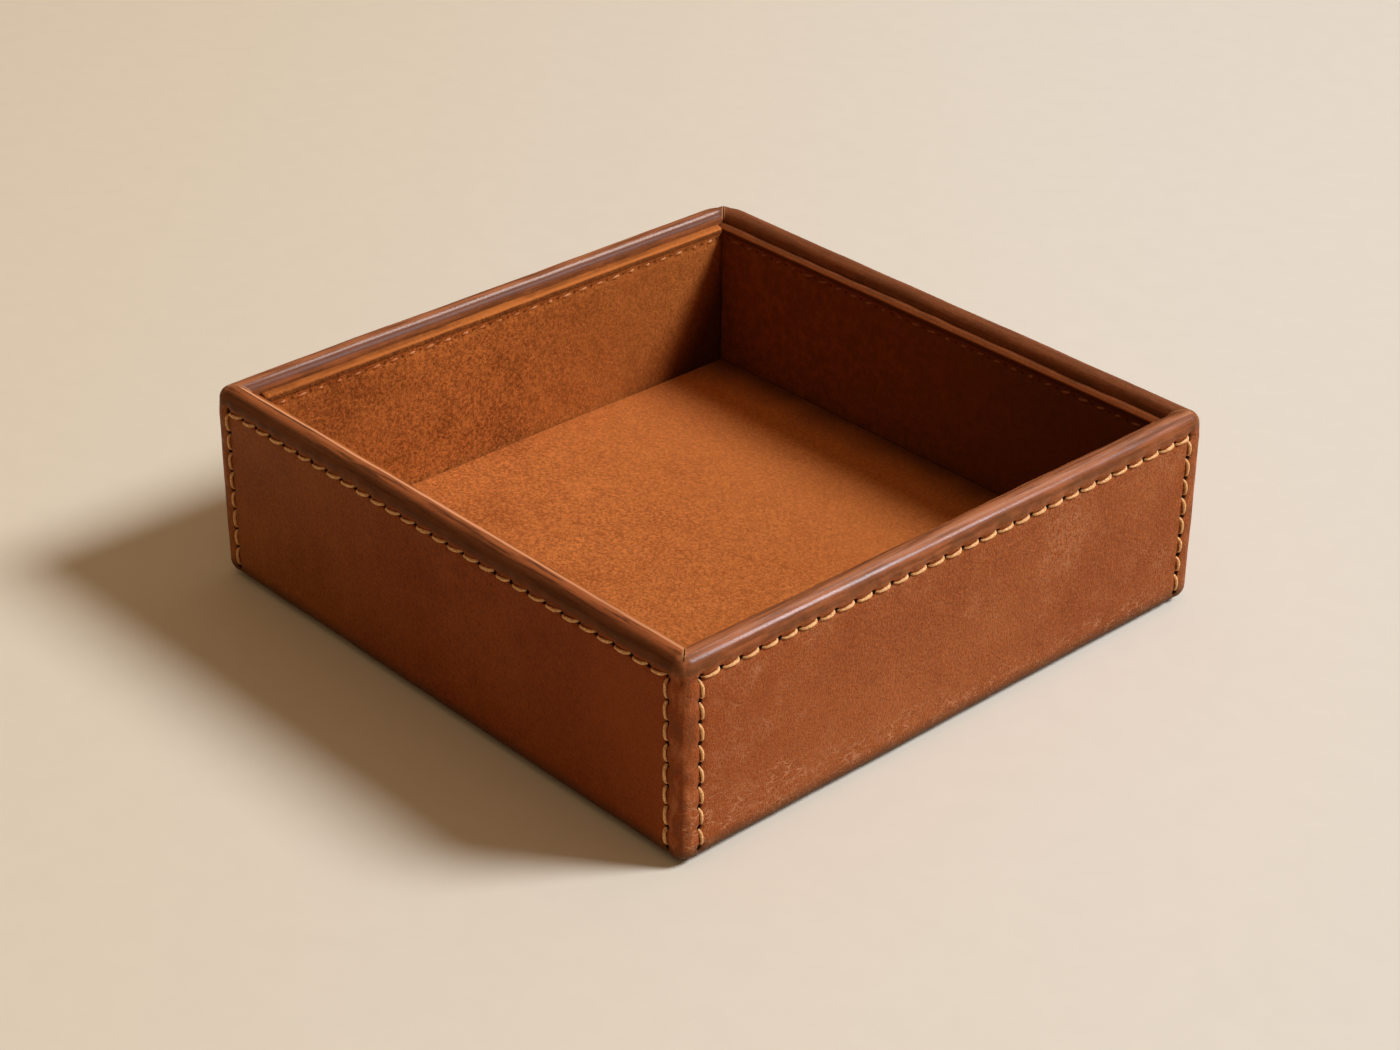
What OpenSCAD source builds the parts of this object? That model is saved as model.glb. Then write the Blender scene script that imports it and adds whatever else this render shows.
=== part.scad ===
// Open valet tray: leather rolled over rebated wall boards, suede lining, two-needle saddle stitching.
// Millimetres, +Z up, origin at the middle of the underside. Front is -Y and right is +X.

/* [Tray] */
// Length across the leather, along X
tray_length = 165; // [140:1:240]
// Width across the leather, along Y
tray_width = 165; // [140:1:240]
// Height from the table to the top of the rim
tray_height = 51; // [44:1:70]

/* [Leather] */
// Thickness of the outer leather
leather_t = 1.6; // [1.2:0.1:2]
// Depth of the leather turned down inside the rim
turn_in = 14; // [12:1:20]
// Width of the leather turned under the base
turn_under = 12; // [10:1:20]
// Inside radius of the leather's bend along the lower edge
bend_r = 0.9; // [0.6:0.1:1.2]
// Gap at the mitres of the turned leather, and where the ends of the strip meet
seam_gap = 0.2; // [0.1:0.05:0.4]

/* [Boards] */
// Thickness of the wall boards
board_t = 5; // [4:0.5:7]
// Thickness of the base board at its edges
base_t = 5; // [3:0.5:7]
// Depth to which the base board is let into the wall boards
base_housing = 2; // [1:0.5:2.5]

/* [Lining] */
// Thickness of the cards under the suede
card_t = 1.2; // [0.8:0.1:2]
// Thickness of the suede
suede_t = 1.2; // [0.8:0.1:1.6]
// Rounding of the cards' top edges
card_edge_r = 0.6; // [0.3:0.1:0.7]
// Height of the wall lining's top edge above the stitch row
lining_margin = 2.5; // [2.3:0.1:3]
// Play round the drop-in floor
floor_play = 0.2; // [0.1:0.05:0.5]

/* [Base cover] */
// Thickness of the cover that the tray stands on
cover_t = 1; // [0.8:0.1:2]
// Distance of the cover's edge from the outer faces
cover_margin = 3; // [2.8:0.2:6]
// Corner radius of the cover
cover_corner_r = 3; // [1:0.5:8]

/* [Stitching] */
// Width of the flat waxed thread
thread_w = 0.9; // [0.6:0.1:1.1]
// Thickness of the thread
thread_t = 0.6; // [0.5:0.05:0.8]
// Wanted length of a stitch
stitch_pitch = 5.5; // [4:0.5:8]
// Distance of the stitch rows from the rounded edges
row_inset = 1.95; // [1.6:0.05:4]
// Distance of the first hole through a wall from the inner corner
inner_hole_inset = 1.75; // [1.5:0.05:4]
// Clearance round the thread in its slits
slit_clearance = 0.05; // [0.02:0.01:0.1]
// Clearance between the two threads that share a slit
thread_gap = 0.5; // [0.2:0.1:0.8]
// Depth of the groove that the stitches are sunk in
groove_depth = 0.4; // [0.2:0.05:0.5]

/* [Hidden] */
$fn = 48;
overrun = 1;

// Walls, counted anticlockwise seen from above
FRONT = 0;
RIGHT = FRONT + 1;
BACK = RIGHT + 1;
LEFT = BACK + 1;

// Depths from the outer face of a wall
rim_r = (leather_t + board_t) / 2;
board_face = leather_t + board_t;
rebate_face = board_t;
card_face = board_face + card_t;
wall_depth = card_face + suede_t;

// Heights
bend_outer_r = bend_r + leather_t;
bend_z = cover_t + bend_outer_r;
board_z = cover_t + leather_t;
base_top = board_z + base_t;
rim_z = tray_height - rim_r;
turn_in_z = tray_height - turn_in;
row_drop = rim_r + row_inset;
row_z = tray_height - row_drop;
lining_top = row_z + lining_margin;

// Slits, each long enough for two threads side by side
slit_w = thread_w + 2 * slit_clearance;
slit_l = 2 * thread_t + thread_gap + 2 * slit_clearance;
leg_offset = (thread_t + thread_gap) / 2;
drill_d = norm([slit_l, slit_w]);

// Depths of the thread's middle outside, inside and in the channels behind the leather
outside_thread = groove_depth - thread_t / 2;
inside_thread = wall_depth - outside_thread;
channel_thread = leather_t + thread_t / 2;

// Length of a wall across the leather
function wall_length(wall) = wall % 2 == 0 ? tray_length : tray_width;

// Distance of a wall's outer face from the middle
function wall_distance(wall) = wall_length(wall + 1) / 2;

// Places of the holes along the top row: one at each corner, and between them those through the wall
function row_half(wall) = wall_length(wall) / 2 - row_drop;
function inner_half(wall) = wall_length(wall) / 2 - wall_depth - inner_hole_inset;
function inner_stitches(wall) = round(2 * inner_half(wall) / stitch_pitch);
function through_holes(wall) =
    [for (i = [0:inner_stitches(wall)]) inner_half(wall) * (2 * i / inner_stitches(wall) - 1)];
function top_holes(wall) = [-row_half(wall), each through_holes(wall), row_half(wall)];

// Heights of the holes up a side row, which ends in the corner hole, under the top row's thread
side_top_z = row_z - slit_w / 2;
side_stitches = round((side_top_z - bend_z) / stitch_pitch);
side_holes = [for (i = [0:side_stitches]) bend_z + (side_top_z - bend_z) * i / side_stitches];

// Way of one of the two threads of a row, as [place along the row, depth]. Thread 0 covers the
// even stitches outside and the odd ones inside, thread 1 the others, and both end outside
function thread_path(holes, backs, which) =
    let (last = len(holes) - 1, to = (last - 1 + which) % 2 == 0 ? last : last - 1)
    [for (i = [which:to])
        let (comes_out = (i + which) % 2 == 0, leg = holes[i] + leg_offset * (comes_out ? 1 : -1))
        each (comes_out ? [[leg, backs[i]], [leg, outside_thread]] : [[leg, outside_thread], [leg, backs[i]]])];

// Outline of a ribbon along a path of square turns
function unit(v) = v / norm(v);
function square_left(v) = [-v[1], v[0]];
function ribbon_edge(path, side) =
    let (last = len(path) - 1, way = [for (i = [0:last - 1]) unit(path[i + 1] - path[i])])
    [for (i = [0:last]) path[i] + thread_t / 2 * (
        i == 0 ? side * square_left(way[0]) - way[0]
        : i == last ? side * square_left(way[last - 1]) + way[last - 1]
        : side * (square_left(way[i - 1]) + square_left(way[i])))];
function ribbon(path) =
    let (left = ribbon_edge(path, 1), right = ribbon_edge(path, -1))
    [each left, for (i = [len(right) - 1:-1:0]) right[i]];

// Places children on a wall: x runs along it, y inwards from its outer face and z up
module on_wall(wall) {
    rotate([0, 0, 90 * wall]) translate([0, -wall_distance(wall), 0]) children();
}

// Runs a section along a wall to its mitres. The section's x is depth and its y is height
module wall_run(length, reach) {
    straight = length / 2 - rim_r;
    intersection() {
        translate([-straight, 0, 0]) rotate([90, 0, 90]) linear_extrude(2 * straight) children();
        linear_extrude(tray_height) polygon([
            [-straight, 0], [straight, 0], [straight, rim_r], [length / 2 - reach, reach],
            [reach - length / 2, reach], [-straight, rim_r]
        ]);
    }
}

// Turns the outer part of a section round the corner at the right end of a wall
module corner_turn(length, start, sweep) {
    translate([length / 2 - rim_r, rim_r, 0]) rotate([0, 0, start]) rotate_extrude(angle = sweep)
        intersection() {
            translate([rim_r, 0]) mirror([1, 0]) children();
            square([rim_r, tray_height]);
        }
}

// Section of the leather: outer skin, roll over the rim, turn-in, lower bend and turn-under
module leather_section() {
    translate([0, bend_z]) square([leather_t, rim_z - bend_z]);
    translate([rim_r, rim_z]) intersection() {
        difference() {
            circle(rim_r);
            circle(rim_r - leather_t);
        }
        translate([-rim_r, 0]) square([2 * rim_r, rim_r]);
    }
    translate([rebate_face, turn_in_z]) square([leather_t, rim_z - turn_in_z]);
    translate([bend_outer_r, bend_z]) intersection() {
        difference() {
            circle(bend_outer_r);
            circle(bend_r);
        }
        translate([-bend_outer_r, -bend_outer_r]) square(bend_outer_r);
    }
    translate([bend_outer_r, cover_t]) square([turn_under - bend_outer_r, leather_t]);
}

// Section of a wall board: round top, rebate for the turn-in and housing for the base board
module board_section() {
    difference() {
        union() {
            translate([leather_t, bend_z]) square([board_t, turn_in_z - bend_z]);
            translate([leather_t, bend_z]) square([board_t - leather_t, rim_z - bend_z]);
            translate([rim_r, rim_z]) circle(rim_r - leather_t);
            translate([bend_outer_r, bend_z]) circle(bend_r);
            translate([bend_outer_r, board_z]) square([board_face - bend_outer_r, bend_z - board_z]);
        }
        translate([board_face - base_housing, board_z - overrun])
            square([base_housing + overrun, base_t + overrun]);
    }
}

// Section of a sheet that stands on the base board against a wall board, its top inner edge rounded,
// and that can run on past both boards
module standing_section(face, top, edge_r, past = 0) {
    difference() {
        translate([board_face - past, base_top - past]) square([face - board_face + past, top - base_top + past]);
        translate([face - edge_r, top - edge_r]) difference() {
            square(edge_r + overrun);
            circle(edge_r);
        }
    }
}

// Section of the card under a wall's lining
module card_section(past = 0) {
    standing_section(card_face, lining_top - suede_t, card_edge_r, past);
}

// Section of a wall's lining, which is drawn over the card's top edge
module lining_section() {
    difference() {
        standing_section(wall_depth, lining_top, card_edge_r + suede_t);
        card_section(overrun);
    }
}

// Box round a middle line that runs inwards between two depths
module slit(x, z, size_x, size_z, from, to) {
    translate([x - size_x / 2, from, z - size_z / 2]) cube([size_x, to - from, size_z]);
}

module through_slits(wall, from, to) {
    for (x = through_holes(wall)) slit(x, row_z, slit_l, slit_w, from, to);
}

// Groove outside a wall under the stitches, and the slits through the outer leather
module outside_grooves(wall) {
    half = row_half(wall);
    side_length = side_top_z - bend_z + slit_l;
    slit(0, row_z, 2 * half + slit_l, slit_w, -overrun, groove_depth);
    for (x = [-half, half]) {
        slit(x, (side_top_z + bend_z) / 2, slit_w, side_length, -overrun, groove_depth);
        slit(x, row_z, slit_l, slit_w, 0, leather_t + overrun);
        for (z = side_holes) slit(x, z, slit_w, slit_l, 0, leather_t + overrun);
    }
}

// One row of a wall's stitches, laid along x
module thread_row(holes, backs) {
    for (which = [0, 1])
        translate([0, 0, -thread_w / 2]) linear_extrude(thread_w) polygon(ribbon(thread_path(holes, backs, which)));
}

module stitching(wall) {
    holes = top_holes(wall);
    last = len(holes) - 1;
    color([0.87, 0.68, 0.44]) on_wall(wall) {
        translate([0, 0, row_z])
            thread_row(holes, [for (i = [0:last]) i == 0 || i == last ? channel_thread : inside_thread]);
        for (side = [-1, 1]) translate([side * row_half(wall), 0, 0]) rotate([0, -90, 0])
            thread_row(side_holes, [for (z = side_holes) channel_thread]);
    }
}

module wall_board(wall) {
    length = wall_length(wall);
    color([0.80, 0.66, 0.46]) on_wall(wall) difference() {
        union() {
            wall_run(length, board_face) board_section();
            corner_turn(length, -90, 45) board_section();
            mirror([1, 0, 0]) corner_turn(length, -90, 45) board_section();
        }
        // Channels for the backs of the side rows
        for (x = [-row_half(wall), row_half(wall)])
            translate([x - slit_l / 2, leather_t - overrun, board_z - overrun])
                cube([slit_l, thread_t + overrun, row_z + slit_w / 2 - board_z + overrun]);
        for (x = through_holes(wall)) translate([x, 0, row_z]) rotate([-90, 0, 0])
            cylinder(h = wall_depth, d = drill_d);
    }
}

// The side linings stand between the front and back ones
function lining_length(wall) =
    wall_length(wall) - 2 * (wall % 2 == 0 ? board_face : wall_depth);

module lining_strip(wall) {
    length = lining_length(wall);
    translate([-length / 2, 0, 0]) rotate([90, 0, 90]) linear_extrude(length) children();
}

module lining_card(wall) {
    color([0.62, 0.55, 0.45]) on_wall(wall) difference() {
        lining_strip(wall) card_section();
        through_slits(wall, board_face - overrun, card_face + overrun);
    }
}

module wall_lining(wall) {
    color([0.70, 0.38, 0.16]) on_wall(wall) difference() {
        lining_strip(wall) lining_section();
        through_slits(wall, board_face - overrun, wall_depth + overrun);
        slit(0, row_z, 2 * inner_half(wall) + slit_l, slit_w, wall_depth - groove_depth, wall_depth + overrun);
    }
}

module outer_leather() {
    mitre_reach = (turn_under + overrun) * sqrt(2);
    color([0.46, 0.22, 0.10]) difference() {
        for (wall = [FRONT:LEFT]) on_wall(wall) {
            wall_run(wall_length(wall), turn_under) leather_section();
            corner_turn(wall_length(wall), -90, 90) leather_section();
        }
        for (wall = [FRONT:LEFT]) on_wall(wall) {
            outside_grooves(wall);
            through_slits(wall, 0, board_face + overrun);
            // Mitre of the turned leather, cut right through where the strip's ends meet
            translate([wall_length(wall) / 2 - rim_r, rim_r, 0]) rotate([0, 0, 135])
                translate([wall == BACK ? -mitre_reach : 0, -seam_gap / 2, 0])
                    cube([mitre_reach * (wall == BACK ? 2 : 1), seam_gap, tray_height + overrun]);
        }
    }
}

module base_board() {
    edge = board_face - base_housing;
    color([0.80, 0.66, 0.46]) {
        translate([edge - tray_length / 2, edge - tray_width / 2, board_z])
            cube([tray_length - 2 * edge, tray_width - 2 * edge, base_t]);
        translate([turn_under - tray_length / 2, turn_under - tray_width / 2, cover_t])
            cube([tray_length - 2 * turn_under, tray_width - 2 * turn_under, leather_t]);
    }
}

module base_cover() {
    x = tray_length / 2 - cover_margin - cover_corner_r;
    y = tray_width / 2 - cover_margin - cover_corner_r;
    color([0.34, 0.19, 0.10]) {
        for (i = [-x, x], j = [-y, y]) translate([i, j, 0]) cylinder(h = cover_t, r = cover_corner_r);
        translate([-x - cover_corner_r, -y, 0]) cube([2 * (x + cover_corner_r), 2 * y, cover_t]);
        translate([-x, -y - cover_corner_r, 0]) cube([2 * x, 2 * (y + cover_corner_r), cover_t]);
    }
}

module floor_card() {
    edge = wall_depth + floor_play + suede_t;
    color([0.62, 0.55, 0.45]) translate([edge - tray_length / 2, edge - tray_width / 2, base_top])
        cube([tray_length - 2 * edge, tray_width - 2 * edge, card_t]);
}

// Section of the floor's lining across a given width, rounded over the card's edges
module floor_section(width) {
    half = width / 2 - suede_t;
    for (side = [-half, half]) translate([side, base_top + card_t]) circle(suede_t);
    translate([-half, base_top]) square([2 * half, card_t + suede_t]);
    translate([-half - suede_t, base_top]) square([2 * (half + suede_t), card_t]);
}

module floor_lining() {
    length = tray_length - 2 * (wall_depth + floor_play);
    width = tray_width - 2 * (wall_depth + floor_play);
    color([0.72, 0.40, 0.17]) difference() {
        intersection() {
            translate([-length / 2, 0, 0]) rotate([90, 0, 90]) linear_extrude(length) floor_section(width);
            translate([0, width / 2, 0]) rotate([90, 0, 0]) linear_extrude(width) floor_section(length);
        }
        translate([suede_t - length / 2, suede_t - width / 2, base_top - overrun])
            cube([length - 2 * suede_t, width - 2 * suede_t, card_t + overrun]);
    }
}

base_cover();
base_board();
wall_board(FRONT);  // front_board
wall_board(RIGHT);  // right_board
wall_board(BACK);  // back_board
wall_board(LEFT);  // left_board
outer_leather();
lining_card(FRONT);  // front_lining_card
lining_card(RIGHT);  // right_lining_card
lining_card(BACK);  // back_lining_card
lining_card(LEFT);  // left_lining_card
wall_lining(FRONT);  // front_lining
wall_lining(RIGHT);  // right_lining
wall_lining(BACK);  // back_lining
wall_lining(LEFT);  // left_lining
floor_card();
floor_lining();
stitching(FRONT);  // front_stitching
stitching(RIGHT);  // right_stitching
stitching(BACK);  // back_stitching
stitching(LEFT);  // left_stitching
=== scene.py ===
import math
import random

import bmesh
import bpy
import numpy as np
from mathutils import Matrix, Vector, noise


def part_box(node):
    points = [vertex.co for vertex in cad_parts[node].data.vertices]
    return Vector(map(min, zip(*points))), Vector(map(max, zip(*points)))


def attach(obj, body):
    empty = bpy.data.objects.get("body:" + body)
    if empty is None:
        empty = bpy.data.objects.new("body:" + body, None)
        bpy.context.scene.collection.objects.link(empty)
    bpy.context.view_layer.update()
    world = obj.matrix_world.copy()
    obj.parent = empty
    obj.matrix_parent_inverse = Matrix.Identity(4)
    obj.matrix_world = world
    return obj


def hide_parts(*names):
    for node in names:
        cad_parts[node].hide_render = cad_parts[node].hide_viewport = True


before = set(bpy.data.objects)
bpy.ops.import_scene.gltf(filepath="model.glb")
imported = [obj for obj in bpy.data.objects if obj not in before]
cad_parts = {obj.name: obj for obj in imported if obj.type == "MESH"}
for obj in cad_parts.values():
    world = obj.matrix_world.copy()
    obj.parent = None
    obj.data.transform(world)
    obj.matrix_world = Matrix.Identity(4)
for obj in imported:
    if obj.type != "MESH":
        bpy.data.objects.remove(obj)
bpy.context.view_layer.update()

MM = 0.001
TINY = 0.01 * MM

# Sizes taken from the frame
leather_low, leather_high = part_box("outer_leather")
front_lining_low, front_lining_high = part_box("front_lining")
floor_low, floor_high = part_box("floor_lining")
cover_low, cover_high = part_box("base_cover")
stitching_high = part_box("front_stitching")[1]
HALF_X = leather_high.x
HALF_Y = leather_high.y
RIM_Z = leather_high.z
HEM_Z = leather_low.z
WALL_T = front_lining_low.y + HALF_Y
WALL_DEPTH = front_lining_high.y + HALF_Y
RIM_R = WALL_T / 2
LEDGE_Z = front_lining_high.z
BASE_Z = floor_low.z
FLOOR_Z = floor_high.z

# Leather
LEATHER_T = 1.6 * MM
TURN_IN = 14 * MM
TURN_UNDER = 12 * MM
HEM_R = 2.5 * MM

# Suede
SUEDE_T = 1.2 * MM
LEDGE_R = 1.8 * MM
COVER_R = 3 * MM

# Stitching: a row along the top of each wall and one up each of its sides
THREAD_W = 0.9 * MM
ROW_Z = stitching_high.z - THREAD_W / 2
ROW_END = stitching_high.x - THREAD_W / 2
CORNER_STITCH = 5.5 * MM
TOP_STITCHES = 26
SIDE_STITCHES = 8
SIDE_FOOT_Z = HEM_Z + HEM_R
SIDE_TOP_Z = ROW_Z - THREAD_W / 2
LAST_HOLE = ROW_END - CORNER_STITCH
INNER_HOLES = [LAST_HOLE * (2 * i / TOP_STITCHES - 1) for i in range(TOP_STITCHES + 1)]
TOP_HOLES = [-ROW_END, *INNER_HOLES, ROW_END]
SIDE_HOLES = [SIDE_FOOT_Z + (SIDE_TOP_Z - SIDE_FOOT_Z) * i / SIDE_STITCHES for i in range(SIDE_STITCHES + 1)]

# Walls, counted anticlockwise seen from above
WALLS = ["front", "right", "back", "left"]


def wall_turn(wall):
    """Turns the front wall's frame onto another wall."""
    return Matrix.Rotation(math.radians(90 * wall), 4, "Z")


def wall_distance(wall):
    """Distance of a wall's outer face from the middle."""
    return HALF_X if wall % 2 else HALF_Y


def wall_view(wall, vectors):
    """Vectors as they lie in the front wall's frame, in three rows."""
    return np.array(wall_turn(wall).inverted().to_3x3()) @ vectors.T


# Modelling


def start_primitive(name, add, scale=(1, 1, 1), **sizes):
    """Adds a primitive with nothing else selected, names and scales it, and opens it for editing."""
    bpy.ops.object.select_all(action="DESELECT")
    add(**sizes)
    piece = bpy.context.object
    piece.name = piece.data.name = name
    piece.scale = scale
    bpy.ops.object.transform_apply(location=True, rotation=True, scale=True)
    bpy.ops.object.mode_set(mode="EDIT")
    return piece


def pick(piece, kind, test):
    """Selects just those vertices, edges or faces of a piece in edit mode that pass a test."""
    bpy.ops.mesh.select_mode(type=kind)
    bpy.ops.mesh.select_all(action="DESELECT")
    mesh = bmesh.from_edit_mesh(piece.data)
    for element in {"VERT": mesh.verts, "EDGE": mesh.edges, "FACE": mesh.faces}[kind]:
        if test(element):
            element.select_set(True)
    mesh.select_flush_mode()
    bmesh.update_edit_mesh(piece.data)


def all_ends(test):
    """Test for edges whose two ends both pass a test of their place."""
    return lambda edge: all(test(vertex.co) for vertex in edge.verts)


def runs_along(axis, shortest, where=None):
    """Test for edges along an axis, longer than shortest, whose middle passes a test of its place."""
    def test(edge):
        a, b = (vertex.co for vertex in edge.verts)
        step = b - a
        return (abs(step[axis]) > shortest and abs(step[axis]) > 0.9 * step.length
                and (where is None or where((a + b) / 2)))
    return test


def cut_runs(piece, axis, parts, longest, where=None):
    """Cuts the long edges along an axis into 4 times parts pieces, as loop cuts would."""
    pick(piece, "EDGE", runs_along(axis, 0.8 * longest, where))
    bpy.ops.mesh.subdivide(number_cuts=3)
    pick(piece, "EDGE", runs_along(axis, 0.2 * longest, where))
    bpy.ops.mesh.subdivide(number_cuts=parts - 1)


def end_edit(piece, angle=40):
    """Closes the edit, with the normals outwards and the shading smooth across soft edges."""
    bpy.ops.mesh.select_all(action="SELECT")
    bpy.ops.mesh.remove_doubles(threshold=TINY)
    bpy.ops.mesh.normals_make_consistent(inside=False)
    bpy.ops.object.mode_set(mode="OBJECT")
    bpy.ops.object.shade_smooth_by_angle(angle=math.radians(angle))
    return piece


def apply_modifier(piece, kind, **settings):
    """Adds a modifier to a piece and applies it."""
    modifier = piece.modifiers.new(kind.lower(), kind)
    for name, value in settings.items():
        setattr(modifier, name, value)
    bpy.context.view_layer.objects.active = piece
    bpy.ops.object.modifier_apply(modifier=modifier.name)


def round_edges(width, segments):
    """Rounds the selected edges of the piece in edit mode."""
    bpy.ops.mesh.bevel(offset=width, segments=segments, profile=0.5, clamp_overlap=False)


def join_pieces(pieces, name):
    """Joins pieces into the first one, and names it."""
    bpy.ops.object.select_all(action="DESELECT")
    for piece in pieces:
        piece.select_set(True)
    bpy.context.view_layer.objects.active = pieces[0]
    bpy.ops.object.join()
    pieces[0].name = pieces[0].data.name = name
    return pieces[0]


def read_points(piece):
    """Places and normals of a piece's vertices."""
    places = np.empty(len(piece.data.vertices) * 3)
    normals = np.empty(len(piece.data.vertices) * 3)
    piece.data.vertices.foreach_get("co", places)
    piece.data.vertex_normals.foreach_get("vector", normals)
    return places.reshape(-1, 3), normals.reshape(-1, 3)


def push_points(piece, shift):
    """Moves each vertex of a piece along its normal."""
    places, normals = read_points(piece)
    piece.data.vertices.foreach_set("co", (places + normals * shift[:, None]).ravel())
    piece.data.update()


def hill(distance, width):
    """Smooth bump of height 1 that fades over a width."""
    return np.exp(-(distance / width) ** 2)


def swells(places, *sizes):
    """Unevenness of a surface: smooth noise, as pairs of height and breadth."""
    return sum(height * np.array([noise.noise(Vector(place) / breadth) for place in places])
               for height, breadth in sizes)


def nearest_hole(way, holes):
    """Distance to the nearest hole of a row, and how far a place is between two: 0 at a hole, 1 midway."""
    gap = np.abs(way[:, None] - np.array(holes)[None, :]).min(axis=1)
    pitch = holes[2] - holes[1]
    return gap, np.sin(np.pi * np.clip(gap / pitch, 0, 0.5)) ** 2


def stitch_count(way, holes):
    """Stitches from the first hole of a row, which stop half a stitch past each end of it."""
    half = (holes[2] - holes[1]) / 2
    return np.interp(way, [holes[0] - half, *holes, holes[-1] + half],
                     [-0.5, *range(len(holes)), len(holes) - 0.5])


def note_row(piece, name, count, off, here):
    """Keeps for the finish how far each vertex is along and off a row of holes, and if it has the row."""
    attribute = piece.data.attributes.new(name, "FLOAT_VECTOR", "POINT")
    attribute.data.foreach_set("vector", np.stack([count, off / MM, here], axis=1).ravel())


# The leather

COLUMNS = 44
ROWS = 15
ROLL_SEGMENTS = 10
HEM_SEGMENTS = 5
BRIDGE_REACH = LEATHER_T / 2

# Half the breadth of the finer faces along the stitch rows
TOP_ROW_BAND = 2.4 * MM
SIDE_ROW_BAND = 1.6 * MM

# Mitre slits, the place behind the outer faces where each one starts, and how square each corner is
SLIT_W = 0.35 * MM
SLIT_DEPTH = 0.9 * MM
MITRE_STARTS = {(1, -1): 2.9 * MM, (1, 1): 2.6 * MM, (-1, 1): 2.9 * MM, (-1, -1): 2.3 * MM}
CORNER_POWERS = {(1, -1): 3.5, (1, 1): 2.7, (-1, 1): 2.0, (-1, -1): 2.7}
SEAM_CORNER = (-1, 1)

# Heights or depths, each with the breadth over which it fades; a tuck fades along and across the row
SEAM_LEAN = (1.6 * MM, 2.8 * MM)
GROOVE = (0.2 * MM, 0.7 * MM)
HOLE = (0.6 * MM, 0.75 * MM)
PILLOW = (0.26 * MM, 1.2 * MM)
PILLOW_REACH = 1.7 * MM
TUCK = (0.16 * MM, 0.7 * MM, 2.0 * MM)
LEATHER_SWELLS = ((0.18 * MM, 28 * MM), (0.07 * MM, 9 * MM))

# How squarely a place faces outwards where a row's holes are marked for the finish
FACING_OUT = 0.7


def corner_depths(place):
    """Depths of a place behind the nearest X and Y outer faces."""
    return HALF_X - abs(place.x), HALF_Y - abs(place.y)


def in_skin(place):
    """Whether a place is on the walls' outer skin, below the roll of the rim."""
    return min(corner_depths(place)) < RIM_R and place.z < RIM_Z - RIM_R


def near_top_row(place):
    """Whether a place is in the band along the top stitches."""
    return in_skin(place) and abs(place.z - ROW_Z) < TOP_ROW_BAND


def near_side_row(place):
    """Whether a place is in the band along the stitches up a wall's sides."""
    return abs(max(corner_depths(place)) - (HALF_X - ROW_END)) < SIDE_ROW_BAND


def corner_of(place):
    """Signs of X and Y at the corner nearest to a place."""
    return (1 if place[0] > 0 else -1, 1 if place[1] > 0 else -1)


def on_cut(place):
    """Whether a place lies where the leather is mitred, or where the two ends of the strip meet."""
    x, y = corner_depths(place)
    corner = corner_of(place)
    seam = corner == SEAM_CORNER and place.z < RIM_Z - RIM_R
    return abs(x - y) < TINY and (seam or x > MITRE_STARTS[corner])


def leather_layer(name, inset, roll_segments, hem_segments, rows):
    """Face of the leather at a given depth under its outer one: a box with a rolled rim, open below."""
    roll = RIM_R - inset
    low, high = HEM_Z + inset, RIM_Z - inset
    piece = start_primitive(
        name, bpy.ops.mesh.primitive_cube_add, size=1, location=(0, 0, (low + high) / 2),
        scale=(2 * (HALF_X - inset), 2 * (HALF_Y - inset), high - low))
    # Rounded corners and the outer half of the roll
    pick(piece, "EDGE", lambda edge: max(vertex.co.z for vertex in edge.verts) > high - TINY)
    round_edges(roll, roll_segments)
    # Inner half of the roll, and the leather turned down inside
    pick(piece, "FACE", lambda face: face.normal.z > 0.9 and face.calc_area() > HALF_X * HALF_Y)
    bpy.ops.mesh.inset(thickness=roll)
    bpy.ops.mesh.extrude_region_move(TRANSFORM_OT_translate={"value": (0, 0, RIM_Z - TURN_IN - high)})
    bpy.ops.mesh.delete(type="FACE")
    inner = RIM_R + roll - TINY
    pick(piece, "EDGE", all_ends(lambda place: min(corner_depths(place)) > inner and place.z > high - TINY))
    round_edges(roll, roll_segments)
    # Lower bend, and the leather turned under
    pick(piece, "EDGE", all_ends(lambda place: place.z < low + TINY))
    round_edges(HEM_R - inset, hem_segments)
    pick(piece, "FACE", lambda face: face.normal.z < -0.9 and face.calc_area() > HALF_X * HALF_Y)
    bpy.ops.mesh.delete(type="ONLY_FACE")
    pick(piece, "EDGE", lambda edge: edge.is_boundary and all(v.co.z < low + TINY for v in edge.verts))
    bpy.ops.mesh.extrude_region_move()
    for vertex in bmesh.from_edit_mesh(piece.data).verts:
        if vertex.select:
            for axis, half in ((0, HALF_X), (1, HALF_Y)):
                reach = half - TURN_UNDER
                vertex.co[axis] = max(-reach, min(reach, vertex.co[axis]))
    bpy.ops.mesh.select_all(action="SELECT")
    bpy.ops.mesh.remove_doubles(threshold=TINY)
    cut_runs(piece, 0, COLUMNS, 2 * (HALF_X - WALL_T))
    cut_runs(piece, 1, COLUMNS, 2 * (HALF_Y - WALL_T))
    if rows:
        cut_runs(piece, 2, rows, RIM_Z - RIM_R - HEM_Z - HEM_R, in_skin)
        pick(piece, "EDGE", runs_along(2, 0, near_top_row))
        bpy.ops.mesh.subdivide(number_cuts=1)
        for axis in (0, 1):
            pick(piece, "EDGE", runs_along(axis, 0, near_side_row))
            bpy.ops.mesh.subdivide(number_cuts=1)
    return piece


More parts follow.
